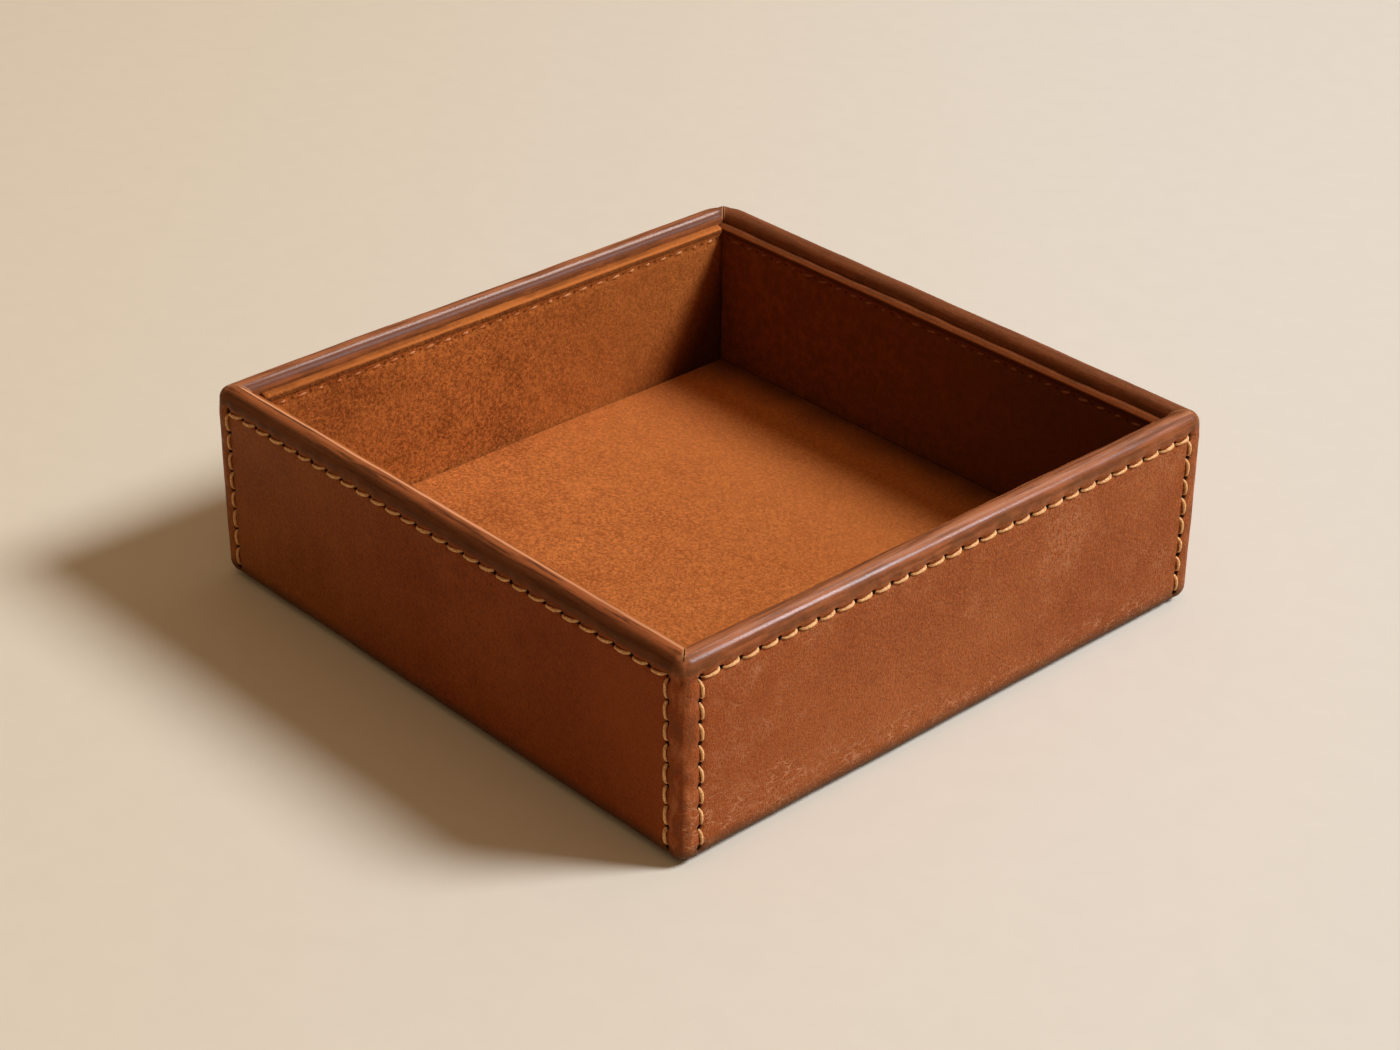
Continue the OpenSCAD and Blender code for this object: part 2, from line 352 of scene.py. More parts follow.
def shape_corners(piece):
    """Pulls the leather tight round the upright corners, and leans the rim inwards at the seam."""
    places, _ = read_points(piece)
    corners = [corner_of(place) for place in places]
    depths = np.array([HALF_X, HALF_Y]) - np.abs(places[:, :2])
    height = places[:, 2]
    round_part = (depths.max(axis=1) < RIM_R - TINY) & (height > HEM_Z + TINY)
    spread = np.clip(RIM_R - depths, TINY, None)
    power = np.array([CORNER_POWERS[corner] for corner in corners])
    reach = (spread ** power[:, None]).sum(axis=1) ** (1 / power)
    gain = np.hypot(*spread.T) / reach - 1
    low = np.clip((height - HEM_Z) / HEM_R, 0, 1)
    high = np.clip((RIM_Z - RIM_R - height) / RIM_R, 0, 1)
    out = np.sign(places[:, :2])
    places[:, :2] += out * spread * (gain * low * high * round_part)[:, None]
    lean = SEAM_LEAN[0] * hill(np.clip(depths.max(axis=1) - RIM_R, 0, None), SEAM_LEAN[1])
    lean *= np.array([corner == SEAM_CORNER for corner in corners])
    lean *= np.clip((height - RIM_Z + 2 * RIM_R) / RIM_R, 0, 1)
    places[:, :2] -= out * (lean / math.sqrt(2))[:, None]
    piece.data.vertices.foreach_set("co", places.ravel())
    piece.data.update()


def press_rows(piece):
    """Draws the leather in at the stitches and swells it between them and the edges."""
    places, normals = read_points(piece)
    shift = swells(places, *LEATHER_SWELLS)
    top_count, top_off, top_here = np.zeros((3, len(places)))
    side_count, side_off, side_here = np.zeros((3, len(places)))
    for wall in range(4):
        way, across, height = wall_view(wall, places)
        depth = across + wall_distance(wall)
        facing = np.clip(-wall_view(wall, normals)[1], 0, 1)
        here = (depth < RIM_R) & (facing > FACING_OUT)
        rows = ((height - ROW_Z, way, TOP_HOLES), (np.abs(way) - ROW_END, height, SIDE_HOLES))
        for off, along, holes in rows:
            gap, between = nearest_hole(along, holes)
            beside = (along > holes[0] - PILLOW_REACH) & (along < holes[-1] + PILLOW_REACH)
            pull = GROOVE[0] * hill(off, GROOVE[1]) + HOLE[0] * hill(np.hypot(gap, off), HOLE[1])
            pull += TUCK[0] * hill(gap, TUCK[1]) * hill(off, TUCK[2]) * (off > 0)
            swell = PILLOW[0] * between * hill(off - PILLOW_REACH, PILLOW[1])
            shift += beside * facing * (depth < RIM_R) * (swell - pull)
        top_count[here] = stitch_count(way, TOP_HOLES)[here]
        top_off[here] = (height - ROW_Z)[here]
        side_count[here] = stitch_count(height, SIDE_HOLES)[here]
        side_off[here] = (np.abs(way) - ROW_END)[here]
        top_here[here] = side_here[here] = 1
    note_row(piece, "top_row", top_count, top_off, top_here)
    note_row(piece, "side_row", side_count, side_off, side_here)
    push_points(piece, shift)


def outer_leather():
    """One strip of leather, wrapped round the walls and turned in at the rim and under the base."""
    inner = end_edit(leather_layer("inner_layer", LEATHER_T, roll_segments=2, hem_segments=2, rows=0))
    inner.data.flip_normals()
    outer = leather_layer("outer_layer", 0, ROLL_SEGMENTS, HEM_SEGMENTS, ROWS)
    for side in (-1, 1):
        pick(outer, "FACE", lambda face: max(corner_depths(face.calc_center_median())) < 2 * RIM_R)
        bpy.ops.mesh.bisect(plane_co=(0, 0, 0), plane_no=(1, side, 0))
    pick(outer, "EDGE", all_ends(on_cut))
    round_edges(SLIT_W / 2, 2)
    end_edit(outer)
    cut = np.array([on_cut(vertex.co) for vertex in outer.data.vertices])
    press_rows(outer)
    shape_corners(outer)
    push_points(outer, -SLIT_DEPTH * cut)
    strip = join_pieces([outer, inner], "leather_wrap")
    bpy.ops.object.mode_set(mode="EDIT")
    for edge_z in (RIM_Z - TURN_IN, HEM_Z + LEATHER_T / 2):
        pick(strip, "EDGE", lambda edge: edge.is_boundary
             and abs(edge.verts[0].co.z - edge_z) < 2 * BRIDGE_REACH)
        bpy.ops.mesh.bridge_edge_loops()
    return end_edit(strip)


# The stitching

STITCH_RINGS = 11
STITCH_SIDES = 8
THREAD_DIP = 1.1 * MM
THREAD_RISE = 0.25 * MM
THREAD_HIDDEN = 0.6 * MM
INNER_RISE = -0.25 * MM
INNER_HIDDEN = 1.75 * MM
INNER_DROP = 0.6 * MM
THREAD_ANGLE = 80

# A stitch is thin where it comes out and full from a share of its half length on, and its twist ripples it
THIN_SHARE = 0.4
FULL_SHARE = 0.35
RIPPLE_SHARE = 0.08
RIPPLES = 7

# How the stitches differ by chance: part of the hidden length, part of the width, and millimetres
STITCH_SEED = 40
HIDDEN_RANGE = (0.7, 1.3)
WIDTH_RANGE = (0.8, 0.95)
SLANT_RANGE = (0.2, 0.36)
LIFT_RANGE = (-0.06, 0.06)


def straight_thread():
    """Straight piece of thread of unit length and width along X, which each stitch is a bent copy of."""
    piece = start_primitive(
        "stitch", bpy.ops.mesh.primitive_cylinder_add, vertices=STITCH_SIDES, radius=0.5, depth=1,
        rotation=(0, math.pi / 2, 0), end_fill_type="NGON")
    pick(piece, "EDGE", runs_along(0, 0.5))
    bpy.ops.mesh.subdivide(number_cuts=STITCH_RINGS - 2)
    return end_edit(piece, THREAD_ANGLE)


def lay_stitch(thread, name, start, end, outwards, rise, hidden, chance):
    """Copy of the thread that comes out of a hole, lies on the leather and goes down into the next hole."""
    stitch = thread.copy()
    stitch.data = thread.data.copy()
    stitch.name = stitch.data.name = name
    bpy.context.scene.collection.objects.link(stitch)
    along = (end - start).normalized()
    across = outwards.cross(along)
    middle = (start + end) / 2
    reach = (end - start).length / 2 - hidden * chance.uniform(*HIDDEN_RANGE)
    width = THREAD_W * chance.uniform(*WIDTH_RANGE)
    slant = chance.uniform(*SLANT_RANGE) * MM
    lift = rise + chance.uniform(*LIFT_RANGE) * MM
    for vertex in stitch.data.vertices:
        way = 2 * vertex.co.x
        angle = math.atan2(vertex.co.z, vertex.co.y)
        bend = math.pi / 2 * way
        centre = (middle + along * reach * math.sin(bend) + across * slant * way
                  + outwards * (lift - (THREAD_DIP + lift) * (1 - math.cos(bend)) ** 1.5))
        tangent = (along * math.cos(bend) * reach - outwards * 2 * THREAD_DIP * math.sin(bend)).normalized()
        above = tangent.cross(across).normalized()
        thin = math.pi / 2 * min(0, way - FULL_SHARE) / (1 + FULL_SHARE)
        fullness = THIN_SHARE + (1 - THIN_SHARE) * math.cos(thin)
        fullness *= 1 + RIPPLE_SHARE * math.cos(2 * angle + RIPPLES * way)
        vertex.co = centre + (across * math.cos(angle) + above * math.sin(angle)) * width / 2 * fullness
    return stitch


def wall_stitching(thread, wall):
    """All the stitches of one wall: up its sides, along its top outside, and along its lining inside."""
    chance = random.Random(STITCH_SEED + wall)
    turn = wall_turn(wall)
    outer = -wall_distance(wall)
    stitches = []

    def lay(start, end, outwards, rise, hidden):
        """Lays a stitch whose holes are given in the front wall's frame."""
        name = f"{WALLS[wall]}_stitch_{len(stitches)}"
        ways = turn @ Vector(start), turn @ Vector(end), turn.to_3x3() @ Vector(outwards)
        stitches.append(lay_stitch(thread, name, *ways, rise, hidden, chance))

    for a, b in zip(TOP_HOLES, TOP_HOLES[1:]):
        lay((a, outer, ROW_Z), (b, outer, ROW_Z), (0, -1, 0), THREAD_RISE, THREAD_HIDDEN)
    for side in (-ROW_END, ROW_END):
        for a, b in zip(SIDE_HOLES, SIDE_HOLES[1:]):
            lay((side, outer, a), (side, outer, b), (0, -1, 0), THREAD_RISE, THREAD_HIDDEN)
    inner, inner_z = outer + WALL_DEPTH, ROW_Z - INNER_DROP
    for a, b in zip(INNER_HOLES, INNER_HOLES[1:]):
        lay((b, inner, inner_z), (a, inner, inner_z), (0, 1, 0), INNER_RISE, INNER_HIDDEN)
    row = join_pieces(stitches, f"{WALLS[wall]}_threads")
    bpy.ops.object.mode_set(mode="EDIT")
    return end_edit(row, THREAD_ANGLE)


# The linings

LINING_COLUMNS = 34
LINING_ROWS = 12
FOLD_SEGMENTS = 8
LINING_GROOVE = (0.3 * MM, 0.8 * MM)
LINING_HOLE = (0.3 * MM, 0.7 * MM)
LINING_SWELLS = ((0.25 * MM, 22 * MM), (0.12 * MM, 5 * MM))
FLOOR_COLUMNS = 18
FLOOR_SWELLS = ((0.25 * MM, 30 * MM), (0.08 * MM, 7 * MM))
FLOOR_SETTLE = 0.1 * MM


def wall_lining(wall):
    """Suede up the inside of a wall, folded back over the top of its card to the boards."""
    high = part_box(f"{WALLS[wall]}_lining")[1]
    half = high.y if wall % 2 else high.x
    face = WALL_DEPTH - wall_distance(wall)
    fold_z = LEDGE_Z - LEDGE_R
    piece = start_primitive(
        f"{WALLS[wall]}_suede", bpy.ops.mesh.primitive_plane_add, size=1, rotation=(math.pi / 2, 0, 0),
        location=(0, face, (BASE_Z + fold_z) / 2), scale=(2 * half, fold_z - BASE_Z, 1))
    pick(piece, "EDGE", all_ends(lambda place: place.z > fold_z - TINY))
    bpy.ops.mesh.spin(
        steps=FOLD_SEGMENTS, angle=-math.pi / 2, center=(0, face - LEDGE_R, fold_z), axis=(1, 0, 0))
    pick(piece, "EDGE", all_ends(lambda place: place.z > LEDGE_Z - TINY))
    bpy.ops.mesh.extrude_region_move(
        TRANSFORM_OT_translate={"value": (0, LEDGE_R + WALL_T - WALL_DEPTH, 0)})
    cut_runs(piece, 0, LINING_COLUMNS, 2 * half)
    cut_runs(piece, 2, LINING_ROWS, fold_z - BASE_Z)
    end_edit(piece)
    if max(piece.data.polygons, key=lambda polygon: polygon.area).normal.y < 0:
        piece.data.flip_normals()
    places, normals = read_points(piece)
    way, _, height = places.T
    off = height - ROW_Z + INNER_DROP
    gap, _ = nearest_hole(way, INNER_HOLES)
    pull = LINING_GROOVE[0] * hill(off, LINING_GROOVE[1])
    pull += LINING_HOLE[0] * hill(np.hypot(gap, off), LINING_HOLE[1])
    turned = places + np.array([0, 0, wall])
    push_points(piece, swells(turned, *LINING_SWELLS) - pull * (normals[:, 1] > 0.3))
    note_row(piece, "top_row", stitch_count(way, INNER_HOLES), off, np.ones(len(way)))
    apply_modifier(piece, "SOLIDIFY", thickness=SUEDE_T, offset=-1)
    piece.data.transform(wall_turn(wall))
    return piece


def floor_lining():
    """Suede floor, drawn down over the edges of its card."""
    size = floor_high - floor_low
    piece = start_primitive(
        "floor_suede", bpy.ops.mesh.primitive_cube_add, size=1, scale=size,
        location=(floor_low + floor_high) / 2)
    pick(piece, "FACE", lambda face: face.normal.z < -0.9)
    bpy.ops.mesh.delete(type="FACE")
    pick(piece, "EDGE", all_ends(lambda place: place.z > FLOOR_Z - TINY))
    round_edges(SUEDE_T, 5)
    cut_runs(piece, 0, FLOOR_COLUMNS, size.x - 2 * SUEDE_T)
    cut_runs(piece, 1, FLOOR_COLUMNS, size.y - 2 * SUEDE_T)
    end_edit(piece)
    places, _ = read_points(piece)
    push_points(piece, swells(places, *FLOOR_SWELLS) - FLOOR_SETTLE)
    apply_modifier(piece, "SOLIDIFY", thickness=SUEDE_T, offset=-1)
    return piece


def base_cover():
    """Suede sheet under the base, with round corners and a soft lower edge."""
    piece = start_primitive(
        "underside_suede", bpy.ops.mesh.primitive_cube_add, size=1, scale=cover_high - cover_low,
        location=(cover_low + cover_high) / 2)
    pick(piece, "EDGE", lambda edge: abs(edge.verts[0].co.z - edge.verts[1].co.z) > TINY)
    round_edges(COVER_R, 8)
    pick(piece, "EDGE", all_ends(lambda place: place.z < cover_low.z + TINY))
    round_edges((cover_high.z - cover_low.z) / 3, 3)
    return end_edit(piece)


# Finishes


class Value:
    """Output of a node, which sums and products join to other values."""

    def __init__(self, finish, socket):
        self.finish = finish
        self.socket = socket

    def __add__(self, other):
        return self.finish.maths("ADD", self, other)

    def __sub__(self, other):
        return self.finish.maths("SUBTRACT", self, other)

    def __rsub__(self, other):
        return self.finish.maths("SUBTRACT", other, self)

    def __mul__(self, other):
        return self.finish.maths("MULTIPLY", self, other)

    __rmul__ = __mul__


class Finish:
    """A material, built node by node round one Principled shader."""

    def __init__(self, name, **constants):
        self.material = bpy.data.materials.new(name)
        self.material.use_nodes = True
        self.nodes = self.material.node_tree.nodes
        self.links = self.material.node_tree.links
        self.shader = self.nodes["Principled BSDF"]
        self.normal = None
        for socket, value in constants.items():
            self.shader.inputs[socket.replace("_", " ").title().replace("Ior", "IOR")].default_value = value
        place = self.add("ShaderNodeTexCoord", {}, {}, "Object")
        self.place = self.add("ShaderNodeVectorMath", {"operation": "SCALE"},
                              {"Vector": place, "Scale": 1 / MM})

    def put(self, socket, value):
        """Links a value to a socket, or sets the socket to a number or a colour."""
        if isinstance(value, Value):
            self.links.new(value.socket, socket)
        elif hasattr(value, "__len__") and socket.type == "RGBA":
            socket.default_value = (*value, 1)
        else:
            socket.default_value = value

    def add(self, kind, settings, values, output=0):
        """Adds a node, makes its settings, then gives its sockets values or links, and returns one output."""
        node = self.nodes.new(kind)
        for name, value in settings.items():
            setattr(node, name, value)
        for name, value in values.items():
            self.put(node.inputs[name], value)
        return Value(self, node.outputs[output])

    def maths(self, operation, *values):
        """Sum, product or other operation on values and numbers."""
        return self.add("ShaderNodeMath", {"operation": operation}, dict(enumerate(values)))

    def noise(self, breadth, detail, roughness=0.5, stretch=None):
        """Noise from 0 to 1 whose patches are about breadth millimetres wide, unless drawn out by stretch."""
        place = self.place
        if stretch:
            place = self.add("ShaderNodeMapping", {}, {"Vector": place, "Scale": stretch})
        return self.add("ShaderNodeTexNoise", {}, {
            "Vector": place, "Scale": 1 / breadth, "Detail": detail, "Roughness": roughness})

    def cells(self, breadth, place=None):
        """Distance to the nearest edge between cells about breadth millimetres wide."""
        return self.add("ShaderNodeTexVoronoi", {"feature": "DISTANCE_TO_EDGE"}, {
            "Vector": place or self.place, "Scale": 1 / breadth}, "Distance")

    def step(self, value, low, high, start=0.0, end=1.0):
        """Smooth step from start to end while a value goes from low to high."""
        return self.add("ShaderNodeMapRange", {"interpolation_type": "SMOOTHSTEP"}, {
            "Value": value, "From Min": low, "From Max": high, "To Min": start, "To Max": end})

    def band(self, value, low, full, fading, high):
        """Smooth band: 1 while a value is between full and fading, 0 below low and above high."""
        return self.step(value, low, full) * self.step(value, fading, high, 1.0, 0.0)

    def blend(self, mask, below, above, kind="MIX"):
        """Colour that goes from below to above as the mask goes from 0 to 1."""
        return self.add("ShaderNodeMix", {"data_type": "RGBA", "blend_type": kind}, {
            "Factor": mask, 6: below, 7: above}, 2)

    def axes(self, vector=None):
        """The three parts of a vector, or of the place in millimetres."""
        split = self.add("ShaderNodeSeparateXYZ", {}, {0: vector or self.place})
        return split, *(Value(self, split.socket.node.outputs[i]) for i in (1, 2))

    def row(self, name):
        """Millimetres to the nearest hole of a stitch row and off the row, and where the row is."""
        count, off, here = self.axes(self.add("ShaderNodeAttribute", {"attribute_name": name}, {}, "Vector"))
        return self.maths("PINGPONG", count, 0.5) * (CORNER_STITCH / MM), off, here

    def bump(self, height, distance):
        """Bump of a height in millimetres, laid on those made before."""
        before = {"Normal": self.normal} if self.normal else {}
        self.normal = self.add("ShaderNodeBump", {}, {
            "Height": height, "Distance": distance * MM, "Strength": 1.0, **before})

    def done(self, colour, roughness):
        """Gives the shader its colour, roughness and bumps, and returns the material."""
        self.put(self.shader.inputs["Base Color"], colour)
        self.put(self.shader.inputs["Roughness"], roughness)
        if self.normal:
            self.put(self.shader.inputs["Normal"], self.normal)
        return self.material


def hole_shade(finish, name, length, width, shift=0.0):
    """Mask of the awl holes of a stitch row, which may lie a little to one side of the thread."""
    gap, off, here = finish.row(name)
    spread = (finish.maths("POWER", gap * (1 / length), 2.0)
              + finish.maths("POWER", (off - shift) * (1 / width), 2.0))
    return finish.step(spread, 0.4, 1.6, 1.0, 0.0) * finish.step(here, 0.9, 1.0)


def most(finish, *masks):
    """Mask that is as high as the highest of several masks."""
    largest = masks[0]
    for mask in masks[1:]:
        largest = finish.maths("MAXIMUM", largest, mask)
    return largest


class LeatherPlace:
    """Where a place is on the leather, in millimetres, and on which walls."""

    def __init__(self, finish):
        self.x, self.y, self.z = finish.axes()
        outward_x = finish.maths("ABSOLUTE", self.x) - HALF_X / MM
        outward_y = finish.maths("ABSOLUTE", self.y) - HALF_Y / MM
        self.depth = -1.0 * finish.maths("MAXIMUM", outward_x, outward_y)
        self.off_mitre = finish.maths("ABSOLUTE", outward_x - outward_y)
        self.side_wall = finish.maths("GREATER_THAN", outward_x, outward_y)
        self.front_wall = (1.0 - self.side_wall) * finish.maths("LESS_THAN", self.y, 0.0)
        self.back_wall = (1.0 - self.side_wall) * finish.maths("GREATER_THAN", self.y, 0.0)
        self.left_wall = finish.maths("LESS_THAN", self.x, 0.0) * self.side_wall
        # Ragged ways to the corner and over the top row, and what they bound
        ragged = finish.noise(6, 4) * 3.0
        self.to_corner = finish.maths("MINIMUM", outward_x, outward_y) + ragged
        self.over_row = self.z + ragged * 0.5 - ROW_Z / MM
        self.at_rim = finish.step(self.over_row, 1.2, 3.4)
        # Painted shade along the foot
        self.foot_shade = finish.step(self.z - ragged * 0.5, 1.4, 5.6, 1.0, 0.0)


def dye_and_front_shade(finish, at, patches, speckle):
    """Colour of the dye with its clouds and fine speckle, redder at the near corner, with painted shade on
    the front wall.
    """
    clouds = finish.noise(30, 4, 0.55)
    colour = finish.blend(finish.step(clouds, 0.3, 0.7), (0.262, 0.061, 0.0135), (0.335, 0.091, 0.023))
    colour = finish.blend(finish.step(patches, 0.45, 0.8) * 0.4, colour, (0.38, 0.105, 0.027))
    colour = finish.blend(finish.step(patches, 0.2, 0.45, 0.35, 0.0), colour, (0.15, 0.034, 0.008))
    colour = finish.blend(finish.step(speckle, 0.32, 0.5, 0.6, 0.0), colour, (0.14, 0.032, 0.007))
    colour = finish.blend(finish.step(speckle, 0.5, 0.68, 0.0, 0.4), colour, (0.48, 0.16, 0.05))
    # Painted shade on the front wall, lighter and greyer towards its far end as a painted sheen
    front_wall_shade = finish.blend(finish.step(at.x, -75.0, 20.0), (0.90, 0.99, 0.82), (0.79, 0.63, 0.42))
    colour = finish.blend(at.front_wall, colour, front_wall_shade, "MULTIPLY")
    return finish.blend(finish.step(at.x - at.y, 90.0, 160.0, 0.0, 0.5), colour, (0.26, 0.052, 0.009))


def hairline_creases(finish, at):
    """Mask of fine creases, most of them low on the walls, and fewest on the front wall."""
    bends = finish.add("ShaderNodeTexNoise", {}, {"Vector": finish.place, "Scale": 0.5, "Detail": 3.0}, 1)
    warped = finish.add("ShaderNodeVectorMath", {"operation": "MULTIPLY_ADD"}, {
        0: bends, 1: (1.8, 1.8, 1.8), 2: finish.place})
    drawn_out = finish.add("ShaderNodeVectorMath", {"operation": "MULTIPLY"}, {0: warped, 1: (0.3, 0.3, 1.0)})
    creases = most(finish, finish.step(finish.cells(1.3, warped), 0.0, 0.12, 0.8, 0.0),
                   finish.step(finish.cells(3.6, warped), 0.0, 0.06, 1.0, 0.0))
    low_creases = finish.step(finish.cells(1.3, drawn_out), 0.0, 0.11, 1.0, 0.0)
    low_creases *= finish.step(finish.noise(2.2, 3), 0.4, 0.6)
    somewhere = finish.noise(15, 3)
    handled = finish.step(at.x - at.y, 80.0, 170.0, 0.0, 10.0)
    creased = most(finish, creases * finish.step(somewhere, 0.47, 0.68, 0.14, 0.55),
                   low_creases * finish.step(at.z + somewhere * 14.0 - handled, 10.0, 19.0, 1.0, 0.0))
    return creased * (1.0 - at.front_wall * 0.9)


def rim_burnish_and_light(finish, at):
    """Colour of the rim, darkened by handling and burnished in streaks, with painted shade, sheen and
    highlight, in its own way on each wall.
    """
    along_x = finish.noise(1.1, 3, 0.6, stretch=(0.06, 1.0, 1.0))
    along_y = finish.noise(1.1, 3, 0.6, stretch=(1.0, 0.06, 1.0))
    streaks = finish.blend(at.side_wall, along_x, along_y)
    colour = finish.blend(finish.step(streaks, 0.36, 0.62), (0.13, 0.036, 0.010), (0.29, 0.084, 0.025))
    # Right and left: a painted sheen along the top of the roll
    crown_sheen = finish.band(at.depth, 0.8, 2.2, 3.6, 5.2) * at.side_wall
    colour = finish.blend(crown_sheen * finish.step(streaks, 0.3, 0.7) * 0.6, colour, (0.46, 0.175, 0.075))
    # Front: painted shade on the outside, with furrows, reddish on top, and a painted highlight as a pale
    # line inside
    outer_side_shade = finish.step(at.depth, 1.2, 2.2, 0.65, 0.0) * at.front_wall
    colour = finish.blend(outer_side_shade, colour, (0.055, 0.022, 0.007))
    reddish = finish.step(at.depth, 1.6, 2.8) * finish.step(streaks, 0.38, 0.52)
    colour = finish.blend(reddish * at.front_wall * 0.6, colour, (0.40, 0.115, 0.033))
    furrows = finish.step(streaks, 0.38, 0.46, 0.7, 0.0) * at.front_wall
    colour = finish.blend(furrows, colour, (0.060, 0.020, 0.007))
    # Painted highlight along the lit inner edge of the front rim
    inner_edge_highlight = finish.step(at.depth + streaks, 4.4, 4.7) * finish.step(at.depth, 5.2, 5.6, 1.0, 0.0)
    inner_edge_highlight *= finish.step(at.x, -10.0, 60.0, 0.85, 0.6)
    colour = finish.blend(inner_edge_highlight * at.front_wall, colour, (0.85, 0.38, 0.18))
    # Left: a dark band inside; back: darker all over; corners: rubbed pale
    dark_band = finish.band(at.depth, 4.2, 4.8, 6.0, 6.3) * at.left_wall
    dark_band *= finish.step(at.z, RIM_Z / MM - 2.2, RIM_Z / MM - 1.4)
    colour = finish.blend(dark_band * 0.75, colour, (0.060, 0.018, 0.009))
    colour = finish.blend(at.back_wall * 0.5, colour, (0.11, 0.030, 0.009))
    return finish.blend(finish.step(at.to_corner, -2.5, 1.0, 0.0, 0.6), colour, (0.50, 0.18, 0.07))


def edge_wear_and_shade(finish, at, colour, patches):
    """Colour with a painted-shade line under the rim, blotched corners and a painted-shade foot."""
    # Painted shade under the roll of the rim, in patches
    under_rim_shade = finish.band(at.over_row, 1.6, 2.6, 3.2, 5.2) * finish.step(patches, 0.35, 0.6, 0.55, 0.1)
    colour = finish.blend(under_rim_shade, colour, (0.09, 0.033, 0.009))
    at_corner = finish.step(at.to_corner, -3.6, -0.6)
    blotches = finish.noise(2.6, 3, 0.6, stretch=(1.0, 1.0, 0.35))
    pale_blotches = at_corner * finish.step(blotches, 0.48, 0.68, 0.0, 0.55)
    colour = finish.blend(pale_blotches, colour, (0.50, 0.175, 0.065))
    dark_blotches = at_corner * finish.step(blotches, 0.34, 0.52, 0.45, 0.0)
    colour = finish.blend(dark_blotches, colour, (0.12, 0.045, 0.016))
    # Painted shade along the foot, where it meets the ground
    return finish.blend(at.foot_shade * 0.85, colour, (0.085, 0.035, 0.013))


def leather_finish():
    """Waxed brown leather, worn where it is handled, with painted shade and highlights, raw edges at its
    mitres and awl holes.
    """
    finish = Finish("waxed_brown_leather", specular_ior_level=0.06, coat_roughness=0.2)
    at = LeatherPlace(finish)
    patches = finish.noise(6, 4, 0.6)
    speckle = finish.noise(0.8, 4, 0.65)
    creased = hairline_creases(finish, at)
    colour = finish.blend(creased * 0.52, dye_and_front_shade(finish, at, patches, speckle), (0.62, 0.29, 0.14))
    colour = finish.blend(at.at_rim * 0.8, colour, rim_burnish_and_light(finish, at))
    colour = edge_wear_and_shade(finish, at, colour, patches)
    raw_edge = (finish.step(at.off_mitre, 0.35, 0.75, 0.8, 0.0) * finish.step(at.depth, 1.8, 2.6)
                * finish.step(at.z, RIM_Z / MM - 2.4, RIM_Z / MM - 1.6))
    colour = finish.blend(raw_edge, colour, (0.50, 0.21, 0.085))
    holes = most(finish, hole_shade(finish, "top_row", 0.85, 0.65, 0.1),
                 hole_shade(finish, "side_row", 0.85, 0.7, 0.2))
    slit = finish.step(at.off_mitre, 0.1, 0.22, 1.0, 0.0) * finish.step(at.depth, 1.5, 1.9)
    colour = finish.blend(most(finish, holes, slit), colour, (0.010, 0.003, 0.001))
    grain = finish.step(finish.cells(0.8), 0.0, 0.25) + finish.noise(0.5, 3, 0.6) - creased
    finish.bump(grain * finish.step(at.at_rim, 0.0, 1.0, 1.0, 0.15), 0.07)
    finish.bump(finish.noise(3.5, 3), 0.2)
    # Wax polished along the shoulders of the rim
    shoulders = most(finish, finish.step(at.depth, 1.3, 1.8, 1.0, 0.0),
                     finish.band(at.depth, 3.9, 4.4, 4.9, 5.3))
    coat = at.at_rim * (shoulders * 0.22 + 0.03) * (1.0 - at.front_wall * 0.8)
    coat *= finish.step(at.y, -82.0, -50.0, 0.45, 1.0)
    finish.put(finish.shader.inputs["Coat Weight"], coat)
    return finish.done(colour, finish.step(speckle, 0.3, 0.7, 0.42, 0.55) + holes * 0.4)


SUEDE_SHADOW = (0.035, 0.007, 0.001)


def shaded_fold(finish, y, colour, dark, middle, light, pale):
    """Colour darker towards the front end, with the nap flattened along the fold, painted shade under it, a
    painted highlight along its top in the pale colour, and drawn in by the stitches.
    """
    _, off, _ = finish.row("top_row")
    fold = (LEDGE_Z - ROW_Z + INNER_DROP) / MM
    wear = finish.noise(2.5, 3, 0.6, stretch=(0.2, 0.2, 1.0))
    colour = finish.blend(finish.step(y, -80.0, -10.0, 0.25, 0.0), colour, dark)
    folded = tuple(value * 0.75 for value in middle)
    worn = tuple(value * 0.8 for value in light)
    ledge = finish.blend(finish.step(wear, 0.35, 0.65), folded, worn)
    colour = finish.blend(finish.step(off, fold - 0.8, fold - 0.4, 0.0, 0.9), colour, ledge)
    shade = finish.step(finish.maths("ABSOLUTE", off + wear * 0.6 - (fold - 1.0)), 0.4, 0.9, 0.6, 0.0)
    colour = finish.blend(shade, colour, SUEDE_SHADOW)
    # Painted highlight along the top of the fold, in the pale colour
    crest_highlight = finish.step(finish.maths("ABSOLUTE", off + wear * 0.4 - (fold - 0.4)), 0.1, 0.4, 0.8, 0.0)
    colour = finish.blend(crest_highlight * finish.step(y, -80.0, -20.0, 0.3, 1.0), colour, pale)
    return finish.blend(hole_shade(finish, "top_row", 0.5, 0.4) * 0.6, colour, (0.03, 0.008, 0.002))


